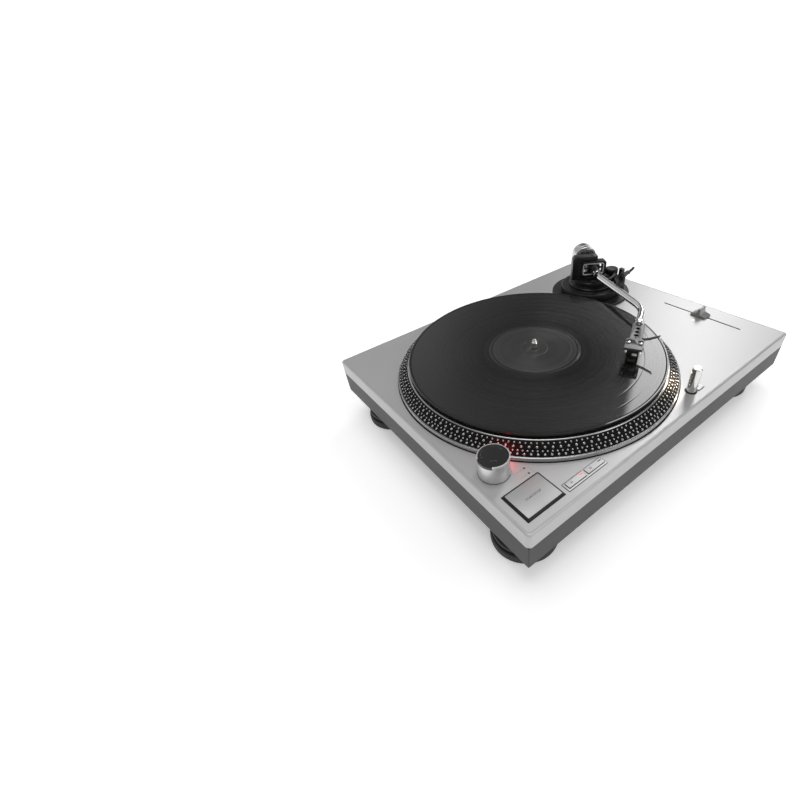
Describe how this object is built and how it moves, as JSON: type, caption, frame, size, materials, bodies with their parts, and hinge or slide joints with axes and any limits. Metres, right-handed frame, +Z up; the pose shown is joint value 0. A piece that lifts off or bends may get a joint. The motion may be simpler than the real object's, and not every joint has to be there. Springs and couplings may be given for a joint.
{
  "type": "dj turntable",
  "caption": "Direct-drive disc turntable: rectangular case on four feet, strobe-edged platter, S-shaped arm with weight, pitch fader and start key.",
  "frame": {"origin": "on the floor under the middle of the rectangular case", "axes": "+X to the right of someone standing in front, +Y to the back, +Z up"},
  "size_m": [0.45, 0.352, 0.1411],
  "materials": {
    "plate_silver": "brushed aluminium top plate",
    "case_silver": "cast aluminium case, fine satin",
    "case_dark": "dark grey moulded base",
    "steel": "machined steel",
    "chrome": "polished chrome",
    "platter_silver": "turned aluminium with a black dotted edge",
    "magnet": "sintered magnet",
    "copper": "copper winding on a steel core",
    "felt": "black felt",
    "vinyl": "pressed black vinyl",
    "black_gloss": "gloss black plastic",
    "black_matte": "matte black plastic",
    "board": "circuit board with parts",
    "rubber": "soft rubber foot",
    "silver_paint": "satin silver",
    "speckled": "dark anodised ring with pale marks",
    "arm_silver": "polished tube",
    "arm_black": "satin black finish on metal",
    "weight_silver": "polished aluminium",
    "shell_grey": "dark grey anodised",
    "gold": "plated brass",
    "led": "clear coloured plastic"
  },
  "bodies": {
    "chassis": {"top_plate": "plate_silver", "upper_case": "case_silver", "lower_case": "case_dark", "base_plate": "case_dark", "case_screws": "steel", "foot_studs": "steel", "motor_stator": "copper", "spindle_bearing": "steel", "main_board": "board", "power_supply": "copper", "strobe_pod": "silver_paint", "platter_well": "case_dark", "speed_tray": "silver_paint", "indicator_leds": "led", "pitch_fader_body": "black_matte", "arm_base_plate": "arm_black", "rca_jacks": "gold", "ground_post": "gold", "mains_inlet": "black_matte"},
    "foot_front_left": {"foot_fl": "rubber"},
    "foot_front_right": {"foot_fr": "rubber"},
    "foot_rear_left": {"foot_rl": "rubber"},
    "foot_rear_right": {"foot_rr": "rubber"},
    "platter_set": {"spindle": "chrome", "rotor_magnet": "magnet", "platter": "platter_silver", "slipmat": "felt"},
    "record_disc": {"record": "vinyl"},
    "power_knob": {"power_knob_ring": "silver_paint", "power_knob_cap": "black_gloss"},
    "start_stop": {"start_stop_button": "black_matte", "start_stop_plate": "silver_paint"},
    "key_33": {"button_33": "silver_paint"},
    "key_45": {"button_45": "silver_paint"},
    "target_light": {"target_light_barrel": "chrome"},
    "light_key": {"light_button": "silver_paint"},
    "pitch_slider": {"pitch_knob": "silver_paint"},
    "height_dial": {"height_ring": "arm_black"},
    "arm_base": {"arm_platform": "arm_black", "gimbal_yoke": "arm_black", "yoke_pivot_screws": "chrome", "cue_lift_housing": "black_matte", "arm_rest": "black_matte"},
    "rest_clip": {"arm_rest_clip": "black_matte"},
    "skate_dial": {"anti_skate_dial": "black_matte"},
    "cue_handle": {"cue_lever": "black_matte"},
    "lift": {"lift_bar": "black_matte"},
    "gimbal": {"gimbal_ring": "arm_black", "ring_pivot_screws": "steel"},
    "arm": {"arm_sleeve": "arm_black", "arm_tube": "arm_silver", "headshell": "shell_grey", "finger_lift": "chrome", "cartridge": "black_gloss", "stylus": "black_matte", "cartridge_screws": "chrome"},
    "weight_bush": {"counterweight_bush": "black_matte"},
    "weight": {"counterweight": "weight_silver"},
    "force_ring": {"pressure_ring": "speckled"},
    "shell_collar": {"headshell_collar": "chrome"}
  },
  "joints": [
    {"name": "platter_spin", "type": "hinge", "parent": "chassis", "child": "platter_set", "pos_m": [-0.049, -0.0015, 0], "axis": [0, 0, 1], "continuous": true},
    {"name": "record_spin", "type": "hinge", "parent": "platter_set", "child": "record_disc", "pos_m": [-0.049, -0.0015, 0], "axis": [0, 0, 1], "continuous": true},
    {"name": "power_knob_turn", "type": "hinge", "parent": "chassis", "child": "power_knob", "pos_m": [-0.2003, -0.1041, 0.1], "axis": [0, 0, 1], "range_deg": [0, 40]},
    {"name": "start_stop_press", "type": "slide", "parent": "chassis", "child": "start_stop", "axis": [0, 0, -1], "range_m": [0, 0.001], "stiffness_N_per_m": 800, "springref_m": -0.0015},
    {"name": "speed_33_press", "type": "slide", "parent": "chassis", "child": "key_33", "axis": [0, 0, -1], "range_m": [0, 0.0008], "stiffness_N_per_m": 600, "springref_m": -0.0012},
    {"name": "speed_45_press", "type": "slide", "parent": "chassis", "child": "key_45", "axis": [0, 0, -1], "range_m": [0, 0.0008], "stiffness_N_per_m": 600, "springref_m": -0.0012},
    {"name": "light_button_press", "type": "slide", "parent": "chassis", "child": "light_key", "axis": [0, 0, -1], "range_m": [0, 0.0008], "stiffness_N_per_m": 600, "springref_m": -0.0012},
    {"name": "target_light_slide", "type": "slide", "parent": "chassis", "child": "target_light", "axis": [0, 0, 1], "range_m": [-0.027, 0], "stiffness_N_per_m": 20, "springref_m": 0.02},
    {"name": "pitch_slide", "type": "slide", "parent": "chassis", "child": "pitch_slider", "axis": [0, 1, 0], "range_m": [-0.05, 0.05]},
    {"name": "height_ring_turn", "type": "hinge", "parent": "chassis", "child": "height_dial", "pos_m": [0.1503, 0.0793, 0.092], "axis": [0, 0, 1], "range_deg": [0, 300]},
    {"name": "arm_height", "type": "slide", "parent": "chassis", "child": "arm_base", "axis": [0, 0, 1], "range_m": [0, 0.0061]},
    {"name": "arm_swing", "type": "hinge", "parent": "arm_base", "child": "gimbal", "pos_m": [0.1503, 0.0793, 0.121], "axis": [0, 0, 1], "range_deg": [-13.5, 18]},
    {"name": "arm_lift", "type": "hinge", "parent": "gimbal", "child": "arm", "pos_m": [0.1503, 0.0793, 0.121], "axis": [-0.829, 0.5592, 0], "range_deg": [0, 5.5]},
    {"name": "cue_lever_turn", "type": "hinge", "parent": "arm_base", "child": "cue_handle", "pos_m": [0.178, 0.042, 0.11], "axis": [0, -1, 0], "range_deg": [0, 35]},
    {"name": "lift_bar_slide", "type": "slide", "parent": "arm_base", "child": "lift", "axis": [0, 0, 1], "range_m": [0, 0.00318]},
    {"name": "counterweight_slide", "type": "slide", "parent": "arm", "child": "weight_bush", "axis": [0.5592, 0.829, 0], "range_m": [-0.006, 0.006]},
    {"name": "counterweight_turn", "type": "hinge", "parent": "weight_bush", "child": "weight", "pos_m": [0.1503, 0.0793, 0.121], "axis": [0.5592, 0.829, 0], "range_deg": [-720, 720]},
    {"name": "pressure_ring_turn", "type": "hinge", "parent": "weight", "child": "force_ring", "pos_m": [0.1503, 0.0793, 0.121], "axis": [0.5592, 0.829, 0], "range_deg": [-180, 180]},
    {"name": "headshell_collar_turn", "type": "hinge", "parent": "arm", "child": "shell_collar", "pos_m": [0.0638, -0.065, 0.121], "axis": [-0.8721, -0.4894, 0], "range_deg": [0, 45]},
    {"name": "anti_skate_turn", "type": "hinge", "parent": "arm_base", "child": "skate_dial", "pos_m": [0.1754, 0.063, 0.114], "axis": [0, 0, 1], "range_deg": [0, 270]},
    {"name": "arm_rest_clip_turn", "type": "hinge", "parent": "arm_base", "child": "rest_clip", "pos_m": [0.14672, 0.023, 0.1276], "axis": [0.0506, 0.9987, 0], "range_deg": [-175, 0]},
    {"name": "foot_front_left_height", "type": "slide", "parent": "chassis", "child": "foot_front_left", "axis": [0, 0, -1], "range_m": [0, 0.006]},
    {"name": "foot_front_right_height", "type": "slide", "parent": "chassis", "child": "foot_front_right", "axis": [0, 0, -1], "range_m": [0, 0.006]},
    {"name": "foot_rear_left_height", "type": "slide", "parent": "chassis", "child": "foot_rear_left", "axis": [0, 0, -1], "range_m": [0, 0.006]},
    {"name": "foot_rear_right_height", "type": "slide", "parent": "chassis", "child": "foot_rear_right", "axis": [0, 0, -1], "range_m": [0, 0.006]}
  ],
  "couplings": [
    {"joint": "arm_height", "follows": "height_ring_turn", "m_per_rad": 0.0011459},
    {"joint": "cue_lever_turn", "follows": "lift_bar_slide", "rad_per_m": 192.2},
    {"joint": "arm_lift", "follows": "lift_bar_slide", "rad_per_m": 30.2},
    {"joint": "counterweight_turn", "follows": "counterweight_slide", "rad_per_m": 2094.4}
  ]
}
